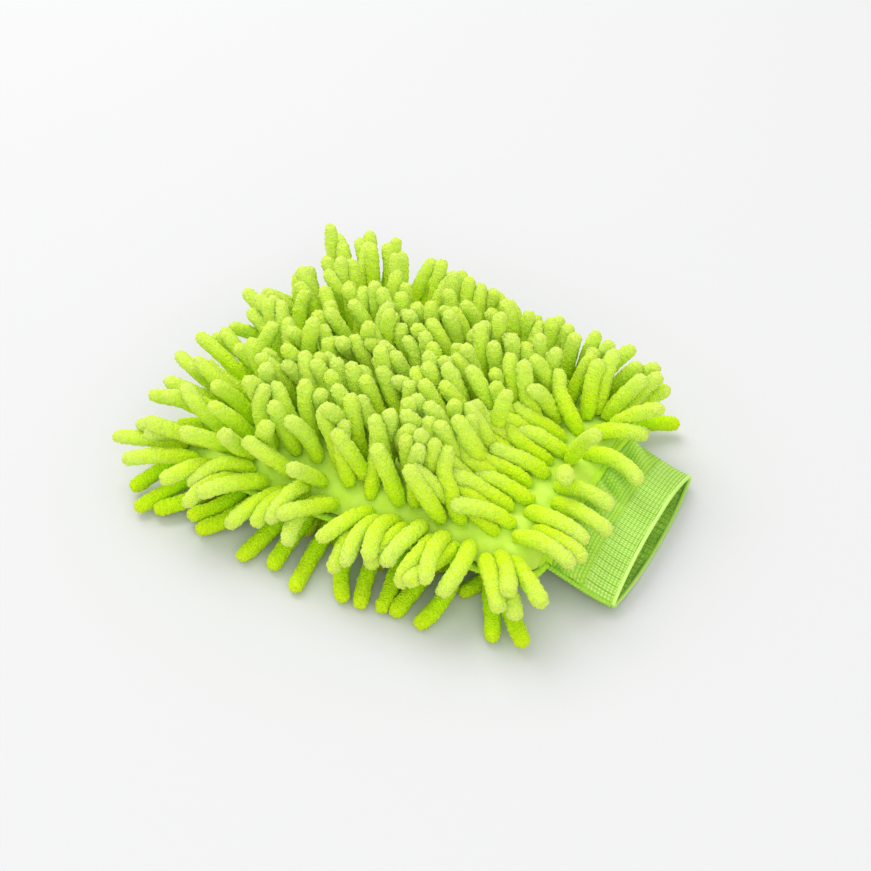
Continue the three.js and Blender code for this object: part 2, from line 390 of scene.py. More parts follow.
@dataclass(frozen=True)
class Knit:
    """Knitted cloth: small raised stitches in a grid, with the gaps between them, the grooves and the fold
    troughs painted darker as shade.
    """

    name: str
    # gap: the colour painted as shade in gaps, grooves and fold troughs; stitch: the yarn colour on the
    # raised stitches.
    gap: Colour
    stitch: Colour
    pitch: float
    yarns_per_metre: float = 3000.0
    clouds_per_metre: float = 120.0
    depth: float = 0.3 * MM
    roughness: float = 0.85
    sheen: float = 0.25

    def make(self) -> Material:
        """Builds the material. The surface's map is in millimetres."""
        dye = Dye(self.name)
        across, along = dye.run()
        turn = math.tau / self.pitch
        cell = (across * turn).sine() * (along * turn).sine() * 0.5 + 0.5
        yarn = dye.noise(self.yarns_per_metre)
        cloud = dye.noise(self.clouds_per_metre)
        # Painted shade: a low stored share and the low cells of the stitch grid take the gap colour; yarn and
        # cloud noise add random tone.
        lift = dye.stored("relief") * 0.6 + cell * 0.18 + yarn * 0.22 + cloud * 0.12 - 0.06
        colour = dye.ramp(lift, [(0.10, self.gap), (0.80, self.stitch)])
        dye.bump(cell * 0.6 + yarn * 0.5, self.depth, 0.8)
        return dye.finish(colour, self.roughness, self.sheen)


@dataclass(frozen=True)
class Thread:
    """Spun sewing thread, a little glossier than the cloth."""

    deep: Colour = (0.42, 0.76, 0.01)
    pale: Colour = (0.68, 0.94, 0.07)
    plies_per_metre: float = 2200.0
    ply_depth: float = 0.2 * MM
    roughness: float = 0.7
    sheen: float = 0.2

    def make(self) -> Material:
        """Builds the material."""
        dye = Dye("sewing_thread")
        ply = dye.noise(self.plies_per_metre)
        dye.bump(ply, self.ply_depth, 0.8)
        colour = dye.ramp(ply, [(0.3, self.deep), (0.7, self.pale)])
        return dye.finish(colour, self.roughness, self.sheen)


# ---- mesh making


def new_piece(name: str, bm: bmesh.types.BMesh, material: Material, smooth_faces: bool = True) -> Piece:
    """Turns a bmesh into a piece in the scene and frees the bmesh."""
    mesh = bpy.data.meshes.new(name)
    bm.to_mesh(mesh)
    bm.free()
    mesh.materials.append(material)
    mesh.polygons.foreach_set("use_smooth", np.full(len(mesh.polygons), smooth_faces))
    piece = bpy.data.objects.new(name, mesh)
    bpy.context.scene.collection.objects.link(piece)
    return piece


def store(piece: Piece, name: str, values: Array) -> None:
    """Stores one number for each vertex under a name that materials read."""
    attribute = piece.data.attributes.new(name, "FLOAT", "POINT")
    attribute.data.foreach_set("value", np.asarray(values, np.float32))


def subdivided(piece: Piece, levels: int) -> None:
    """Adds a Subdivision Surface with the same levels in view and render."""
    modifier = piece.modifiers.new("subdivision", "SUBSURF")
    modifier.levels = levels
    modifier.render_levels = levels


def thickened(piece: Piece, thickness: float) -> None:
    """Gives a sheet its thickness, on the inner side of its faces."""
    modifier = piece.modifiers.new("thickness", "SOLIDIFY")
    modifier.thickness = thickness
    modifier.offset = -1.0


def settle_in(piece: Piece, slot: Slot, *nodes: str) -> None:
    """Rides the piece on the mitt's body, in place of the named nodes."""
    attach(piece, "root")
    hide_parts(*nodes)
    log.info("%s: %d faces, for %s", piece.name, len(piece.data.polygons), ", ".join(nodes))


class Column:
    """A closed round column that is bent along a spine: a noodle, a thread or a rolled edge."""

    def __init__(self, sides: int, rings: int) -> None:
        """Builds the straight column.

        Args:
            sides: faces round the column.
            rings: rings of vertices along it, both ends counted.
        """
        self.sides = sides
        self.rings = rings
        bm = bmesh.new()
        bmesh.ops.create_cone(bm, cap_ends=True, segments=sides, radius1=1.0, radius2=1.0, depth=1.0)
        upright = [edge for edge in bm.edges if abs(edge.verts[0].co.z - edge.verts[1].co.z) > 0.5]
        bmesh.ops.subdivide_edges(bm, edges=upright, cuts=rings - 2, use_grid_fill=True)
        bmesh.ops.recalc_face_normals(bm, faces=bm.faces)
        self._map(bm)
        self.mesh = bpy.data.meshes.new("column")
        bm.to_mesh(self.mesh)
        bm.free()
        place = np.empty(len(self.mesh.vertices) * 3)
        self.mesh.vertices.foreach_get("co", place)
        place = place.reshape(-1, 3)
        self.across = place[:, :2]
        self.ring = np.rint((place[:, 2] + 0.5) * (rings - 1)).astype(int)

    def _map(self, bm: bmesh.types.BMesh) -> None:
        """Maps the surface: turns round it, and its length from 0 to 1."""
        layer = bm.loops.layers.uv.new("Run")
        for face in bm.faces:
            middle = face.calc_center_median()
            facing = math.atan2(middle.y, middle.x)
            for loop in face.loops:
                angle = math.atan2(loop.vert.co.y, loop.vert.co.x)
                turn = (angle - facing + math.pi) % math.tau - math.pi + facing
                loop[layer].uv = (turn / math.tau, loop.vert.co.z + 0.5)

    def copies(self, count: int) -> bmesh.types.BMesh:
        """A bmesh with the straight column in it count times."""
        bm = bmesh.new()
        for _ in range(count):
            bm.from_mesh(self.mesh)
        return bm

    def bent(self, spines: Array, radii: Array) -> Array:
        """Places of the vertices of columns bent along spines.

        Args:
            spines: points at every ring, as (columns, rings, 3).
            radii: the radius at every ring, as (columns, rings).

        Returns:
            The places as (columns, vertices, 3).
        """
        along = unit(np.gradient(spines, axis=1))
        side = np.empty_like(spines)
        steep = np.abs(along[:, 0, 2:]) > 0.8
        current = np.where(steep, [[1.0, 0.0, 0.0]], [[0.0, 0.0, 1.0]])
        for k in range(self.rings):
            current = unit(current - along[:, k] * np.sum(current * along[:, k], axis=-1, keepdims=True))
            side[:, k] = current
        other = np.cross(along, side)
        reach = radii[:, self.ring, None]
        turned = side[:, self.ring] * self.across[None, :, :1]
        turned = turned + other[:, self.ring] * self.across[None, :, 1:]
        return spines[:, self.ring] + reach * turned


def resampled(points: Array, count: int) -> Array:
    """Points at equal steps along a line, or along many lines when points has a leading axis."""
    share = np.linspace(0.0, points.shape[-2] - 1.0, count)
    start = np.clip(share.astype(int), 0, points.shape[-2] - 2)
    return curve_at(points, start, share - start)


def curve_at(points: Array, start: Array, share: Array) -> Array:
    """Points on the smooth curve through the given points (last axis but one runs along it)."""
    last = points.shape[-2] - 1
    t = share[:, None]
    p0, p1 = points[..., np.maximum(start - 1, 0), :], points[..., start, :]
    p2, p3 = points[..., start + 1, :], points[..., np.minimum(start + 2, last), :]
    m1, m2 = (p2 - p0) / 2.0, (p3 - p1) / 2.0
    t2, t3 = t * t, t * t * t
    near = (2 * t3 - 3 * t2 + 1) * p1 + (t3 - 2 * t2 + t) * m1
    return near + (-2 * t3 + 3 * t2) * p2 + (t3 - t2) * m2


def strand(name: str, line: Array, radius: Array, sides: int, material: Material) -> Piece:
    """One closed strand along a line of points."""
    column = Column(sides, len(line))
    bm = column.copies(1)
    piece = new_piece(name, bm, material)
    place = column.bent(line[None], np.broadcast_to(radius, (1, len(line))))
    piece.data.vertices.foreach_set("co", place.ravel())
    bpy.data.meshes.remove(column.mesh)
    return piece


def sheet_grid(
    name: str,
    form: MittForm,
    face: Face,
    span: tuple[float, float],
    cells: tuple[int, int],
    lift: Callable[[Array, Array], Array],
    material: Material,
    inset: float = 0.9 * MM,
) -> Piece:
    """A sheet that follows one face of the mitt.

    Args:
        name: the piece's name.
        form: the mitt's form.
        face: the face that it lies on.
        span: where it starts and ends along x.
        cells: faces along and across.
        lift: gives how far it stands outside the face, from places along and across in metres.
        material: its finish.
        inset: how far its side edges stay inside the form's edge.

    Returns:
        The new piece, one layer thick, facing out.
    """
    bm = bmesh.new()
    bmesh.ops.create_grid(bm, x_segments=cells[0], y_segments=cells[1], size=1.0)
    layer = bm.loops.layers.uv.new("Run")
    place = np.array([vert.co[:2] for vert in bm.verts])
    x = blend(span[0], span[1], 0.5 + 0.5 * place[:, 0])
    half = form.half_width(x) - inset
    y = place[:, 1] * half
    points = form.face_point(x, y / form.half_width(x), face, lift(x, y))
    for vert, point in zip(bm.verts, points):
        vert.co = point
    for item in bm.faces:
        for loop in item.loops:
            loop[layer].uv = (loop.vert.co.y / MM, loop.vert.co.x / MM)
    if face is Face.BOTTOM:
        bmesh.ops.reverse_faces(bm, faces=bm.faces)
    return new_piece(name, bm, material)


# ---- noodles


@dataclass
class Noodle:
    """One chenille noodle: where it is sewn on, which way it leaves and which way it ends up."""

    root: Array
    first: Array
    last: Array
    length: float
    radius: float
    row: int
    face: Face


@dataclass
class NoodleField:
    """All noodles of the mitt, laid out in sewn rows."""

    form: MittForm
    rows: int = 15
    first_row: float = 9.0 * MM
    last_row: float = 205.0 * MM
    pitch: float = 9.9 * MM
    floor_pitch: float = 16.5 * MM
    stagger: float = 3.2 * MM
    radius: float = 4.35 * MM
    length: float = 39.5 * MM
    floor_length: float = 25.0 * MM
    edge_insets: tuple[float, float] = (3.0 * MM, 6.5 * MM)
    extra_share: float = 0.6
    end_crowding: float = 0.78
    bare_band: float = 7.5 * MM
    parting: float = 2.5 * MM
    edge_start: float = 0.88
    scatter: float = 1.6 * MM
    noodles: list[Noodle] = field(default_factory=list)

    def lay_out(self) -> None:
        """Places every noodle of both faces."""
        chance = np.random.default_rng(SEED)
        for row in range(self.rows):
            x = self.form.tip_x + blend(self.first_row, self.last_row, row / (self.rows - 1))
            x += {self.rows - 2: self.parting, self.rows - 1: -self.parting}.get(row, 0.0)
            half = float(self.form.half_width(x))
            crowding = self.end_crowding if row == 0 else 1.0
            for face, pitch in ((Face.TOP, self.pitch), (Face.BOTTOM, self.floor_pitch)):
                inner = half - self.edge_insets[1] - self.bare_band
                count = int(2.0 * inner / (pitch * crowding)) + 1
                for place, y in enumerate(np.linspace(-inner, inner, count)):
                    step = self.stagger if place % 2 else -self.stagger
                    self.noodles.append(self._noodle(row, x + step, y / half, face, chance))
                for side in (-1.0, 1.0):
                    doubled = 0
                    if face is Face.TOP:
                        doubled = chance.random() < self.extra_share or row > self.rows - 3 or side > 0.0
                    for inset, step in zip(self.edge_insets[: 1 + doubled], (-self.stagger, self.stagger)):
                        u = side * (1.0 - inset / float(self.form.half_width(x + step)))
                        self.noodles.append(self._noodle(row, x + step, u, face, chance))
        log.info("%d noodles in %d rows on each face", len(self.noodles), self.rows)

    def _noodle(self, row: int, x: float, u: float, face: Face, chance: np.random.Generator) -> Noodle:
        """One noodle at a place in a row."""
        edge = abs(u) > self.edge_start
        shift = chance.normal(0.0, self.scatter, 2)
        x, u = x + shift[0], u + (0.6 if edge else 1.0) * shift[1] / float(self.form.half_width(x))
        root = self.form.face_point(x, u, face, -0.6 * MM)
        wild = chance.normal(0.0, 1.0, 4)
        lean = self._top_lean if face is Face.TOP else self._floor_lean
        s = (x - self.form.tip_x) / (self.form.heel_x - self.form.tip_x)
        first, last, share = lean(row, s, u, edge, wild)
        full = self.length if face is Face.TOP or edge or row == 0 else self.floor_length
        length = full * share * (1.0 + (0.07 if edge else 0.11) * chance.uniform(-1.0, 1.0))
        radius = self.radius * (1.0 + 0.05 * chance.uniform(-1.0, 1.0))
        radius = radius * (1.0 if face is Face.TOP or edge else 0.92)
        return Noodle(root, unit(np.array(first)), unit(np.array(last)), length, radius, row, face)

    def _top_lean(self, row: int, s: float, u: float, edge: bool, wild: Array) -> Lean:
        """Which way a noodle of the top face leaves and ends, and its share of the full length.

        Args:
            row: the row's number from the fingertips.
            s: how far along the body it is, from 0 to 1.
            u: how far across the hand it is, from -1 to 1.
            edge: whether it stands at the side seam.
            wild: four random numbers.

        Returns:
            The direction at the root, the direction at the tip, and the share of the full length.
        """
        tip = 1.0 - float(smooth(s, 0.0, 0.20))
        corner = float(smooth(s, 0.80, 0.97))
        fan = blend(-0.75, 0.25, s) - 0.9 * tip + corner
        if edge and u < 0.0:
            return self._near_edge_lean(fan, tip, corner, wild)
        if edge:
            return self._far_edge_lean(s, fan, tip, wild)
        if row == self.rows - 1:
            return self._last_row_lean(u, wild)
        return self._middle_lean(s, u, tip, wild)

    @staticmethod
    def _near_edge_lean(fan: float, tip: float, corner: float, wild: Array) -> Lean:
        """Arches out and down over the near edge."""
        first = [fan + 0.3 * wild[0], -1.0, 0.65 + 0.2 * wild[3]]
        last = [fan + 0.45 * wild[1], -0.9, -0.70 + 0.45 * tip + 0.25 * wild[2]]
        return first, last, 1.0 + 0.1 * tip - 0.12 * corner

    @staticmethod
    def _far_edge_lean(s: float, fan: float, tip: float, wild: Array) -> Lean:
        """Stands up and a little out along the far edge, longest at the fingertips."""
        out = blend(0.75, 0.15, float(smooth(s, 0.1, 0.8)))
        first = [0.5 * fan + 0.15 * wild[0], out, 1.1]
        last = [0.6 * fan + 0.25 * wild[1], out, 0.70 + 0.5 * tip + 0.35 * wild[2]]
        return first, last, blend(1.13, 0.90, s) + 0.12 * tip

    @staticmethod
    def _last_row_lean(u: float, wild: Array) -> Lean:
        """Lies over the cuff; two in the middle rise towards the near side, and the far end stands up."""
        if abs(u) < 0.12:
            apart = math.copysign(0.35, u)
            return [0.3, -0.3 + apart, 0.9], [0.45, -0.7 + apart, 0.6], 0.9
        stand = float(smooth(u, 0.25, 0.7))
        first = [blend(1.0, 0.35, stand) + 0.1 * wild[0], 0.35 * u + 0.1 * wild[1], blend(0.55, 1.0, stand)]
        last = [blend(1.0, 0.5, stand), 0.45 * u + 0.2 * wild[3], blend(-0.42, 0.7, stand)]
        return first, last, 0.95

    @staticmethod
    def _middle_lean(s: float, u: float, tip: float, wild: Array) -> Lean:
        """Leans to the fingertips; lies down at the near fingertip corner and before the heel."""
        near = 0.5 - 0.5 * u
        heel = float(smooth(s, 0.74, 0.88)) * (1.0 - float(smooth(u, 0.1, 0.6)))
        x_lean = -0.36 - tip * blend(0.25, 1.0, near) - 1.1 * heel
        y_lean = 0.12 + 0.35 * u**3 * (1.0 if u < 0.0 else 1.0 - s) - 0.35 * tip * near - 0.35 * heel
        y_lean += 0.6 * float(smooth(abs(u), 0.6, 0.85)) * wild[0] * math.copysign(1.0, u)
        rise = 1.0 - 1.15 * heel - tip * blend(0.05, 1.1, near)
        first = [x_lean + 0.2 * wild[0], y_lean + 0.2 * wild[1], 1.0 - 0.5 * tip * near]
        last = [1.25 * x_lean + 0.5 * wild[2], 1.2 * y_lean + 0.5 * wild[3], rise]
        return first, last, 1.0 + 0.05 * tip - 0.10 * s * max(u, 0.0)

    def _floor_lean(self, row: int, s: float, u: float, edge: bool, wild: Array) -> Lean:
        """Which way a noodle of the bottom face leaves and ends; the arguments are those of the top face."""
        side = math.copysign(1.0, u)
        if edge:
            fan = blend(-0.9, 0.6, s) + 0.6 * float(smooth(s, 0.8, 0.97))
            share = 1.0 + 0.12 * float(smooth(s, 0.25, 0.5) - smooth(s, 0.65, 0.85)) + 0.04 * wild[1]
            return [fan, side, -0.5], [fan + 0.4 * wild[0], side, -0.15], share
        if row == 0:
            return [-1.0, 0.35 * u + 0.1 * wild[0], -0.6], [-1.0, 0.5 * u + 0.2 * wild[1], -0.2], 0.95
        return [0.4 * wild[0] - 0.3, 0.6 * side, -1.0], [0.8 * wild[1] - 0.4, side, -0.2], 1.0


class Settling:
    """Lets the noodles press each other apart until they rest on cloth, cuff, floor and each other."""

    NODES = 8
    STEPS = 130
    REFRESH = 6
    SOFTNESS = 0.93
    SIGHT = 13.0 * MM
    SEAM_REACH = 3.2 * MM
    MOUTH_MARGIN = 2.0 * MM

    def __init__(self, layout: NoodleField) -> None:
        """Starts every noodle along its own free curve."""
        self.form = layout.form
        noodles = layout.noodles
        steps = self.NODES - 1
        share = (np.arange(steps) / (steps - 1.0))[None, :, None] ** 1.1
        first = np.array([noodle.first for noodle in noodles])[:, None]
        last = np.array([noodle.last for noodle in noodles])[:, None]
        self.wanted = unit(blend(first, last, share))
        self.step = np.array([noodle.length for noodle in noodles])[:, None] / steps
        self.radius = np.array([noodle.radius for noodle in noodles])
        self.up = np.array([noodle.face is Face.TOP for noodle in noodles])
        root = np.array([noodle.root for noodle in noodles])[:, None]
        reach = np.cumsum(self.wanted * self.step[..., None], axis=1)
        self.nodes = np.concatenate([root, root + reach], axis=1)
        self.stiffness = np.linspace(0.75, 0.06, steps) ** 1.2

    def run(self) -> Array:
        """Settles the noodles.

        Returns:
            Their nodes, as (noodles, nodes, 3).
        """
        for step in range(self.STEPS):
            if step % self.REFRESH == 0:
                pairs = self._near_pairs()
            self._bend()
            self._press_apart(pairs)
            self._keep_clear()
            self._keep_length()
        self._keep_clear()
        return self.nodes

    def _bend(self) -> None:
        """Pulls each noodle towards its own curve, and evens out kinks."""
        for k in range(1, self.NODES):
            aim = self.nodes[:, k - 1] + self.wanted[:, k - 1] * self.step
            self.nodes[:, k] += self.stiffness[k - 1] * (aim - self.nodes[:, k])
        middle = 0.5 * (self.nodes[:, :-2] + self.nodes[:, 2:])
        self.nodes[:, 1:-1] += 0.18 * (middle - self.nodes[:, 1:-1])

    def _near_pairs(self) -> tuple[Array, Array]:
        """Pairs of nodes of different noodles that are near enough to meet soon."""
        flat = self.nodes[:, 1:].reshape(-1, 3)
        owner = np.repeat(np.arange(len(self.nodes)), self.NODES - 1)
        square = np.sum(flat**2, axis=1)
        near = square[:, None] + square[None, :] - 2.0 * flat @ flat.T < self.SIGHT**2
        first, second = np.nonzero(np.triu(near, 1))
        apart = owner[first] != owner[second]
        return first[apart], second[apart]

    def _press_apart(self, pairs: tuple[Array, Array]) -> None:
        """Moves nodes that are inside each other apart, each by half."""
        first, second = pairs
        flat = self.nodes[:, 1:].reshape(-1, 3)
        radius = np.repeat(self.radius, self.NODES - 1)
        gap = flat[first] - flat[second]
        distance = np.maximum(np.linalg.norm(gap, axis=1), 1e-6)
        depth = np.maximum(self.SOFTNESS * (radius[first] + radius[second]) - distance, 0.0)
        push = 0.5 * (depth / distance)[:, None] * gap
        meeting = np.concatenate([first, second])[np.tile(depth > 0.0, 2)]
        count = 1.0 + 0.5 * np.bincount(meeting, minlength=len(flat))
        for axis in range(3):
            moved = np.bincount(first, push[:, axis], len(flat))
            moved = moved - np.bincount(second, push[:, axis], len(flat))
            flat[:, axis] += moved / count
        self.nodes[:, 1:] = flat.reshape(len(self.nodes), -1, 3)

    def _keep_clear(self) -> None:
        """Keeps the nodes out of the cloth, the seams, the cuff and the floor."""
        nodes = self.nodes[:, 1:]
        radius = np.repeat(self.radius[:, None], self.NODES - 1, axis=1)
        rise = np.minimum(1.0, 0.35 + 0.3 * np.arange(self.NODES - 1))[None, :]
        form = self.form
        x, y = nodes[..., 0], nodes[..., 1]
        inside_x = np.clip(x, form.tip_x, form.mouth_x)
        half = form.half_width(inside_x)
        over = (np.abs(y) < half) & (x > form.tip_x) & (x < form.mouth_x + self.MOUTH_MARGIN)
        u = np.clip(y / half, -1.0, 1.0)
        top = form.face_height(inside_x, u, Face.TOP) + radius * rise
        bottom = form.face_height(inside_x, u, Face.BOTTOM) - radius * rise
        up = self.up[:, None]
        z = np.where(over & up, np.maximum(nodes[..., 2], top), nodes[..., 2])
        z = np.where(over & ~up, np.minimum(z, bottom), z)
        self._clear_of_seam(nodes, z, inside_x, half, radius * rise)
        nodes[..., 2] = np.maximum(nodes[..., 2], 0.97 * radius)

    def _clear_of_seam(self, nodes: Array, z: Array, inside_x: Array, half: Array, reach: Array) -> None:
        """Keeps the nodes that hang over an edge off the rounded seam there."""
        edge_y = np.clip(nodes[..., 1], -half, half)
        seam = np.stack([inside_x, edge_y, self.form.seam_height(inside_x)], axis=-1)
        place = np.stack([nodes[..., 0], nodes[..., 1], z], axis=-1)
        away = place - seam
        beside = (np.abs(nodes[..., 1]) >= half) | (nodes[..., 0] <= self.form.tip_x)
        beside |= nodes[..., 0] >= self.form.mouth_x + self.MOUTH_MARGIN
        distance = np.linalg.norm(away, axis=-1)
        short = beside & (distance < reach + self.SEAM_REACH)
        pushed = seam + unit(away) * (reach + self.SEAM_REACH)[..., None]
        nodes[...] = np.where(short[..., None], pushed, place)

    def _keep_length(self) -> None:
        """Brings every stretch back to its length, from the root to the tip."""
        for k in range(1, self.NODES):
            away = unit(self.nodes[:, k] - self.nodes[:, k - 1])
            self.nodes[:, k] = self.nodes[:, k - 1] + away * self.step


@dataclass
class NoodleRows:
    """Turns the settled noodles into one piece for each sewn row."""

    layout: NoodleField
    nodes: Array
    material: Material
    sides: int = 6
    stations: tuple[float, ...] = (0.0, 0.05, 0.12, 0.22, 0.34, 0.46, 0.58, 0.7, 0.81, 0.89, 0.945, 0.98, 1.0)
    girths: tuple[float, ...] = (0.5, 0.78, 0.95, 1.0, 1.0, 1.0, 1.0, 1.0, 1.0, 0.97, 0.81, 0.51, 0.16)
    cage_allowance: float = 1.2
    unevenness: float = 0.05
    # How far the bottom face's noodles are painted darker: painted shade, for the little light they get under
    # the mitt.
    bottom_painted_shade: float = 3.0
    tuft_size: float = 1.6 * MM
    tuft_height: float = 1.9 * MM

    def build(self) -> None:
        """Builds the rows of both faces."""
        column = Column(self.sides, len(self.stations))
        texture = bpy.data.textures.new("tufts", "CLOUDS")
        texture.noise_scale = self.tuft_size
        texture.noise_depth = 1
        for face in Face:
            for row in range(self.layout.rows):
                self._row(column, texture, face, row)
        bpy.data.meshes.remove(column.mesh)

    def _row(self, column: Column, texture: bpy.types.Texture, face: Face, row: int) -> None:
        """One row as one piece: each noodle is a bent column, subdivided and roughened into tufts."""
        noodles = self.layout.noodles
        mine = [i for i, noodle in enumerate(noodles) if noodle.row == row and noodle.face is face]
        chance = np.random.default_rng([SEED, row, face.value + 1])
        share = np.array(self.stations) * (Settling.NODES - 1)
        start = np.clip(share.astype(int), 0, Settling.NODES - 2)
        spines = curve_at(self.nodes[mine], start, share - start)
        thick = np.array([noodles[i].radius for i in mine])[:, None] * np.array(self.girths)[None]
        uneven = 1.0 + self.unevenness * chance.uniform(-1.0, 1.0, thick.shape)
        thick = thick * self.cage_allowance * uneven
        name = f"{face.name.lower()}_noodle_row_{row + 1:02d}"
        piece = new_piece(name, column.copies(len(mine)), self.material)
        piece.data.vertices.foreach_set("co", column.bent(spines, thick).ravel())
        # reach runs from 0 at the root to 1 at the tip; the chenille paints shade at the root and a highlight
        # at the tip from it.
        store(piece, "reach", np.tile(np.array(self.stations)[column.ring], len(mine)))
        # Each noodle gets a random tone; on the bottom face it is lowered further as painted shade.
        shade = chance.uniform(0.0, 1.0, len(mine)) - (self.bottom_painted_shade if face is Face.BOTTOM else 0.0)
        store(piece, "shade", np.repeat(shade, len(column.ring)))
        subdivided(piece, 2)
        tufts = piece.modifiers.new("tufts", "DISPLACE")
        tufts.texture = texture
        tufts.texture_coords = "LOCAL"
        tufts.strength = self.tuft_height
        tufts.mid_level = 0.5
        settle_in(piece, Slot.CHENILLE, f"{face.name.lower()}_noodles_{row + 1:02d}")


# ---- cloth body


@dataclass
class ClothBody:
    """The two panels of base cloth, their linings and the seams that close them."""

    form: MittForm
    layout: NoodleField
    cloth: float = 1.9 * MM
    lining: float = 0.7 * MM
    lining_depth: float = 3.0 * MM
    unevenness: float = 0.5 * MM
    lining_unevenness: float = 0.12 * MM
    lining_inset: float = 3.0 * MM
    dimple: float = 1.3 * MM
    dimple_width: float = 4.2 * MM
    rolled_edge: float = 2.2 * MM
    seam_radius: float = 2.2 * MM
    thread_radius: float = 0.42 * MM
    thread_pitch: float = 2.8 * MM

    def build(self, fleece: Material, lining: Material, thread: Material) -> None:
        """Builds panels, linings and seams."""
        for face in Face:
            panel = self._panel(face, fleece)
            inner = self._lining(face, lining)
        self._seams(thread)

    def _panel(self, face: Face, material: Material) -> Piece:
        """One panel, drawn down a little where each noodle is sewn on and softly uneven between."""
        form = self.form
        roots = np.array([noodle.root[:2] for noodle in self.layout.noodles if noodle.face is face])

        def lift(x: Array, y: Array) -> Array:
            """How far the cloth stands outside the form."""
            apart = (x[:, None] - roots[None, :, 0]) ** 2 + (y[:, None] - roots[None, :, 1]) ** 2
            drawn = np.minimum(np.exp(-apart / self.dimple_width**2).sum(axis=1), 1.0)
            wave = np.sin(x / (8.3 * MM) + 2.0 * np.sin(y / (19.0 * MM))) * np.sin(y / (9.7 * MM) + 1.3)
            sides = smooth(np.abs(y) / form.half_width(x), 0.93, 1.0)
            tip_end = 1.0 - smooth(x, form.tip_x, form.tip_x + 6.0 * MM)
            heel_end = smooth(x, form.heel_x - 8.0 * MM, form.heel_x)
            heel_end = heel_end * smooth(np.abs(y), form.cuff_half - 4.0 * MM, form.cuff_half + 6.0 * MM)
            rim = np.maximum(np.maximum(sides, tip_end), heel_end)
            return self.unevenness * wave - self.dimple * drawn - self.rolled_edge * rim

        name = f"{face.name.lower()}_cloth_panel"
        span = (form.tip_x + 0.6 * MM, form.heel_x)
        piece = sheet_grid(name, form, face, span, (130, 110), lift, material)
        thickened(piece, self.cloth)
        settle_in(piece, Slot.CLOTH, f"{face.name.lower()}_cloth")
        return piece

    def _lining(self, face: Face, material: Material) -> Piece:
        """The thin lining inside one panel, with the slack of loose cloth."""
        span = (self.form.tip_x + 3.6 * MM, self.form.heel_x - 0.3 * MM)

        def lift(x: Array, y: Array) -> Array:
            """How far the lining stands outside the form (it is inside)."""
            wave = np.sin(x / (11.0 * MM)) * np.sin(y / (13.0 * MM))
            return -self.lining_depth + self.lining_unevenness * wave

        name = f"{face.name.lower()}_lining_sheet"
        piece = sheet_grid(name, self.form, face, span, (60, 60), lift, material, self.lining_inset)
        store(piece, "relief", np.full(len(piece.data.vertices), 0.5))
        thickened(piece, self.lining)
        settle_in(piece, Slot.LINING, f"{face.name.lower()}_lining")
        return piece

    def _side_line(self, side: float) -> Array:
        """The line of a side seam from the heel round to the fingertip end."""
        form = self.form
        outside = self.seam_radius - 0.6 * MM
        x = form.heel_x - np.geomspace(0.4 * MM, form.heel_corner, 12)
        x = np.append(x[:-1], np.linspace(x[-1], form.tip_x + form.tip_corner + 8.0 * MM, 16))
        straight = np.stack([x, side * (form.half_width(x) + outside), form.seam_height(x)], axis=-1)
        angle = np.linspace(0.0, 0.5 * math.pi, 9)
        centre = float(form.half_width(form.tip_x + form.tip_corner)) - form.tip_corner
        reach = form.tip_corner + outside + 0.6 * MM
        corner_x = form.tip_x + form.tip_corner - reach * np.sin(angle)
        corner_y = side * (centre + reach * np.cos(angle))
        corner = np.stack([corner_x, corner_y, np.full_like(angle, form.seam_z)], axis=-1)
        start_y = side * (form.cuff_half - 1.0 * MM)
        start = [form.heel_x + 0.8 * MM, start_y, float(form.seam_height(form.heel_x))]
        return np.concatenate([[start], straight, corner])

    def _seams(self, material: Material) -> None:
        """The overlocked edges: a soft core with thread wound round it."""
        left, right = self._side_line(-1.0), self._side_line(1.0)
        gap = np.array([0.0, 0.3 * MM, 0.0])
        tip = np.linspace(left[-1] + gap, right[-1] - gap, 12)
        for node, line in (("left_side_seam", left), ("right_side_seam", right), ("fingertip_seam", tip)):
            line = resampled(line, 90)
            overlock(node, line, self.seam_radius, self.thread_radius, self.thread_pitch, material)


def overlock(node: str, line: Array, radius: float, thread: float, pitch: float, material: Material) -> None:
    """An overlocked edge: a core with thread wound closely round it, joined into one piece.

    Args:
        node: the node that it stands for.
        line: points along the seam.
        radius: the seam's outer radius.
        thread: the thread's radius.
        pitch: the distance between turns.
        material: its finish.
    """
    length = float(np.linalg.norm(np.diff(line, axis=0), axis=1).sum())
    turns = length / pitch
    count = int(turns * 9)
    middle = resampled(line, count)
    along = unit(np.gradient(middle, axis=0))
    side = unit(np.cross(along, [0.0, 0.0, 1.0]))
    angle = np.linspace(0.0, turns * math.tau, count)[:, None]
    rise = np.array([0.0, 0.0, 1.0])
    wound = middle + (radius - thread) * (side * np.cos(angle) + rise * np.sin(angle))
    core = strand(node + "_core", line, radius - 1.4 * thread, 10, material)
    winding = strand(node + "_winding", wound, thread, 5, material)
    bm = bmesh.new()
    for part in (core, winding):
        bm.from_mesh(part.data)
        bpy.data.objects.remove(part)
    settle_in(new_piece(node + "_overlock", bm, material), Slot.THREAD, node)


# ---- cuff


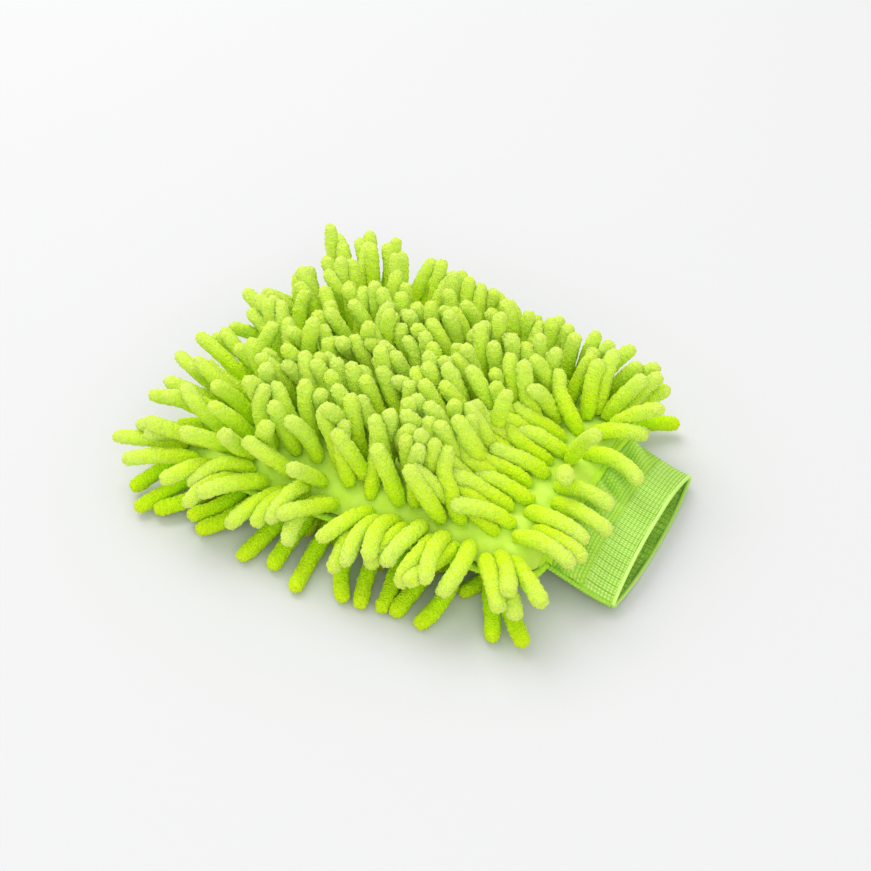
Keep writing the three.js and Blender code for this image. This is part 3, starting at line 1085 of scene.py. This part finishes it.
@dataclass
class Cuff:
    """The knitted cuff: the sewn join, the waffle knit, the ribbed elastic band and the rolled hem."""

    form: MittForm
    join_lap: float = 0.8 * MM
    join_end: float = 3.4 * MM
    knit_end: float = 22.0 * MM
    elastic_end: float = 37.4 * MM
    wall: float = 1.2 * MM
    waffle: float = 1.9 * MM
    waffle_depth: float = 0.6 * MM
    gather: float = 1.9 * MM
    slack: float = 1.15
    dash: float = 0.7 * MM
    dash_row: float = 1.9 * MM
    rib: float = 4.2 * MM
    dash_depth: float = 0.6 * MM
    ripple: float = 0.45 * MM
    hem_radius: float = 1.2 * MM
    # Painted light on the hem: the top hem is painted lighter and the bottom hem, inside the mouth, darker as
    # shade.
    hem_painted_light: dict[Face, float] = field(default_factory=lambda: {Face.TOP: 0.8, Face.BOTTOM: 0.35})

    def build(self, knit: Material, elastic: Material, thread: Material) -> None:
        """Builds both halves of the cuff and its side seams."""
        heel = self.form.heel_x
        knit_thread = Thread(deep=(0.28, 0.60, 0.02), pale=(0.55, 0.88, 0.11)).make()
        join, middle, end = heel + self.join_end, heel + self.knit_end, heel + self.elastic_end
        bands = (
            ("join", (heel - self.join_lap, join), (14, 240), self._join_lift, thread, Slot.THREAD),
            ("knit", (join, middle), (42, 240), self._knit_lift, knit, Slot.KNIT),
            ("elastic", (middle, end), (48, 460), self._elastic_lift, elastic, Slot.ELASTIC),
        )
        for face in Face:
            for band in bands:
                self._band(face, *band)
            self._hem(face, elastic)
        for name, side in (("left", -1.0), ("right", 1.0)):
            x = np.linspace(heel + 0.5 * self.join_end, heel + self.elastic_end, 9)
            y = side * (self.form.half_width(x) - 0.4 * MM)
            line = np.stack([x, y, self.form.seam_height(x)], axis=-1)
            overlock(f"cuff_{name}_seam", resampled(line, 24), 1.6 * MM, 0.3 * MM, 1.8 * MM, knit_thread)

    def _band(
        self,
        face: Face,
        part: str,
        span: tuple[float, float],
        cells: tuple[int, int],
        relief: Relief,
        material: Material,
        slot: Slot,
    ) -> None:
        """One half of one band of the cuff.

        Args:
            face: which half.
            part: the band's name.
            span: where it starts and ends along x.
            cells: faces along and across.
            relief: gives the lift in metres and the raised share, from places along and across; the finish
                paints a low share darker as shade.
            material: its finish.
            slot: its material slot.
        """
        half = face.name.lower()
        name = f"cuff_{half}_{part}"
        kept: list[Array] = []

        def lift(x: Array, y: Array) -> Array:
            """The lift at each place; the raised share is kept for the finish, which paints a low share
            darker as shade.
            """
            height, share = relief(x - self.form.heel_x, y)
            kept.append(share)
            rim = smooth(np.abs(y) / self.form.half_width(x), 0.92, 0.99)
            edge = blend(self.form.body_edge, self.form.cuff_edge, self.form.to_mouth(x))
            return height - rim * (edge - 0.4 * self.wall)

        piece = sheet_grid(name, self.form, face, span, cells, lift, material)
        store(piece, "relief", kept[0])
        thickened(piece, self.wall)
        settle_in(piece, slot, f"cuff_{part}_{half}")
        if slot is not Slot.THREAD:
            width = self.slack * float(2.0 * self.form.half_width(span[0]))
            span[1] - span[0]

    def _join_lift(self, x: Array, y: Array) -> tuple[Array, Array]:
        """Close slanting stitches over a low ridge."""
        ridge = np.sin(math.pi * np.clip(x / self.join_end, 0.0, 1.0))
        stitch = 0.5 + 0.5 * np.sin(math.tau * (y + 0.6 * x) / (1.9 * MM))
        return ridge * (0.5 * MM + 0.4 * MM * stitch), ridge * stitch

    def _knit_lift(self, x: Array, y: Array) -> tuple[Array, Array]:
        """Honeycomb cells on soft gathers that die out towards the band."""
        row = x / self.waffle
        across = y / self.waffle + 0.5 * np.floor(row)
        cell = np.abs(np.sin(math.pi * row)) * np.abs(np.sin(math.pi * across)) ** 0.6
        fade = 1.0 - smooth(x, 0.35 * self.knit_end, self.knit_end)
        fade *= smooth(x, self.join_end - 2.0 * MM, self.join_end + 3.5 * MM)
        fold = np.sin(y / (2.4 * MM) + 1.9 * np.sin(y / (15.0 * MM)) + x / (4.5 * MM))
        fold = fold * fade
        # The second value paints shade: the cells' hollows and the gathers' troughs come out darker.
        return self.waffle_depth * (cell - 0.4) + self.gather * fold, 0.75 * cell + 0.25 * fold + 0.12

    def _elastic_lift(self, x: Array, y: Array) -> tuple[Array, Array]:
        """Rows of short raised dashes, split into ribs by thin grooves that run towards the mouth."""
        rows = np.abs(np.sin(math.pi * x / self.dash_row)) ** 0.7
        dashes = np.abs(np.sin(math.pi * y / (2.0 * self.dash))) ** 0.7
        groove = smooth(np.abs((y / self.rib) % 1.0 - 0.5), 0.40, 0.48)
        share = rows * dashes * (1.0 - groove)
        wave = np.sin(y / (5.3 * MM) + 1.1 * np.sin(y / (13.0 * MM)))
        # The second value paints shade: the grooves and the spaces between the dashes come out darker.
        return self.dash_depth * share + 0.1 * MM + self.ripple * wave, share - 0.3 * groove

    def _hem(self, face: Face, material: Material) -> None:
        """The smooth rolled edge of one half of the mouth."""
        u = np.sin(0.5 * math.pi * np.linspace(-0.99, 0.99, 90))
        x = np.full_like(u, self.form.heel_x + self.elastic_end + 0.8 * self.hem_radius)
        line = self.form.face_point(x, u, face, -0.5 * MM)
        seam = self.form.seam_height(x)
        line[:, 2] = blend(seam, line[:, 2], smooth(1.0 - np.abs(u), -0.004, 0.035))
        name = f"cuff_{face.name.lower()}_hem"
        piece = strand(name, line, self.hem_radius, 12, material)
        # The top hem is painted lighter and the bottom hem darker: painted light and shade on one yarn.
        store(piece, "relief", np.full(len(piece.data.vertices), self.hem_painted_light[face]))
        settle_in(piece, Slot.ELASTIC, f"cuff_hem_{face.name.lower()}")


# ---- studio


@dataclass(frozen=True)
class Studio:
    """The pale floor, the soft lights and the camera."""

    azimuth: float = math.radians(29.6)
    elevation: float = math.radians(41.6)
    distance: float = 700.0 * MM
    lens: float = 50.8
    target: tuple[float, float, float] = (-0.6 * MM, 3.0 * MM, 18.4 * MM)

    def build(self) -> None:
        """Builds everything that isn't the mitt."""
        self._camera()
        self._floor()
        self._lights()

    def _camera(self) -> None:
        """The camera, looking down on the mitt from the side of the cuff."""
        camera = bpy.data.cameras.new("camera")
        camera.sensor_width = 36.0
        camera.lens = self.lens
        holder = bpy.data.objects.new("camera", camera)
        bpy.context.scene.collection.objects.link(holder)
        level = math.cos(self.elevation)
        sideways, inwards = math.sin(self.azimuth), -math.cos(self.azimuth)
        back = Vector((sideways * level, inwards * level, math.sin(self.elevation)))
        holder.location = Vector(self.target) + back * self.distance
        holder.rotation_euler = back.to_track_quat("Z", "Y").to_euler()
        bpy.context.scene.camera = holder

    def _floor(self) -> None:
        """A wide matt floor."""
        dye = Dye("floor")
        dye.feed(dye.shader.inputs["Base Color"], (0.685, 0.685, 0.69, 1.0))
        dye.feed(dye.shader.inputs["Roughness"], 0.7)
        dye.feed(dye.shader.inputs["Specular IOR Level"], 0.1)
        bm = bmesh.new()
        bmesh.ops.create_grid(bm, x_segments=1, y_segments=1, size=30.0)
        floor = new_piece("floor", bm, dye.material, False)

    def _lights(self) -> None:
        """A broad soft key from above and behind on the left, a low fill, and an even bright room."""
        self._area("key", (-1.7, 0.9, 2.8), 2.4, 59.0)
        self._area("fill", (1.7, -2.3, 1.9), 2.6, 35.0)
        world = bpy.data.worlds.new("room")
        world.use_nodes = True
        world.node_tree.nodes["Background"].inputs[0].default_value = (1.0, 1.0, 1.0, 1.0)
        world.node_tree.nodes["Background"].inputs[1].default_value = 0.83
        scene = bpy.context.scene
        scene.world = world
        scene.view_settings.view_transform = "Standard"
        scene.view_settings.look = "None"

    @staticmethod
    def _area(name: str, place: tuple[float, float, float], size: float, power: float) -> None:
        """One square soft light that looks at the mitt."""
        light = bpy.data.lights.new(name, "AREA")
        light.size = size
        light.energy = power
        holder = bpy.data.objects.new(name, light)
        holder.location = place
        holder.rotation_euler = Vector(place).to_track_quat("Z", "Y").to_euler()
        bpy.context.scene.collection.objects.link(holder)


def main() -> None:
    """Builds the studio, then the mitt from its noodles to its cuff."""
    Studio().build()
    form = MittForm()
    layout = NoodleField(form)
    layout.lay_out()
    nodes = Settling(layout).run()
    NoodleRows(layout, nodes, Chenille().make()).build()
    thread = Thread().make()
    # Each knit's first colour is painted shade for its gaps and grooves; the second is the yarn colour.
    lining = Knit("lining_knit", (0.46, 0.74, 0.06), (0.64, 0.88, 0.16), 1.4).make()
    ClothBody(form, layout).build(Fleece().make(), lining, thread)
    knit = Knit("waffle_knit", (0.17, 0.45, 0.006), (0.61, 0.91, 0.13), 0.95).make()
    elastic = Knit("elastic_rib", (0.21, 0.52, 0.01), (0.68, 0.94, 0.24), 0.9).make()
    Cuff(form).build(knit, elastic, thread)


if __name__ == "__main__":
    main()
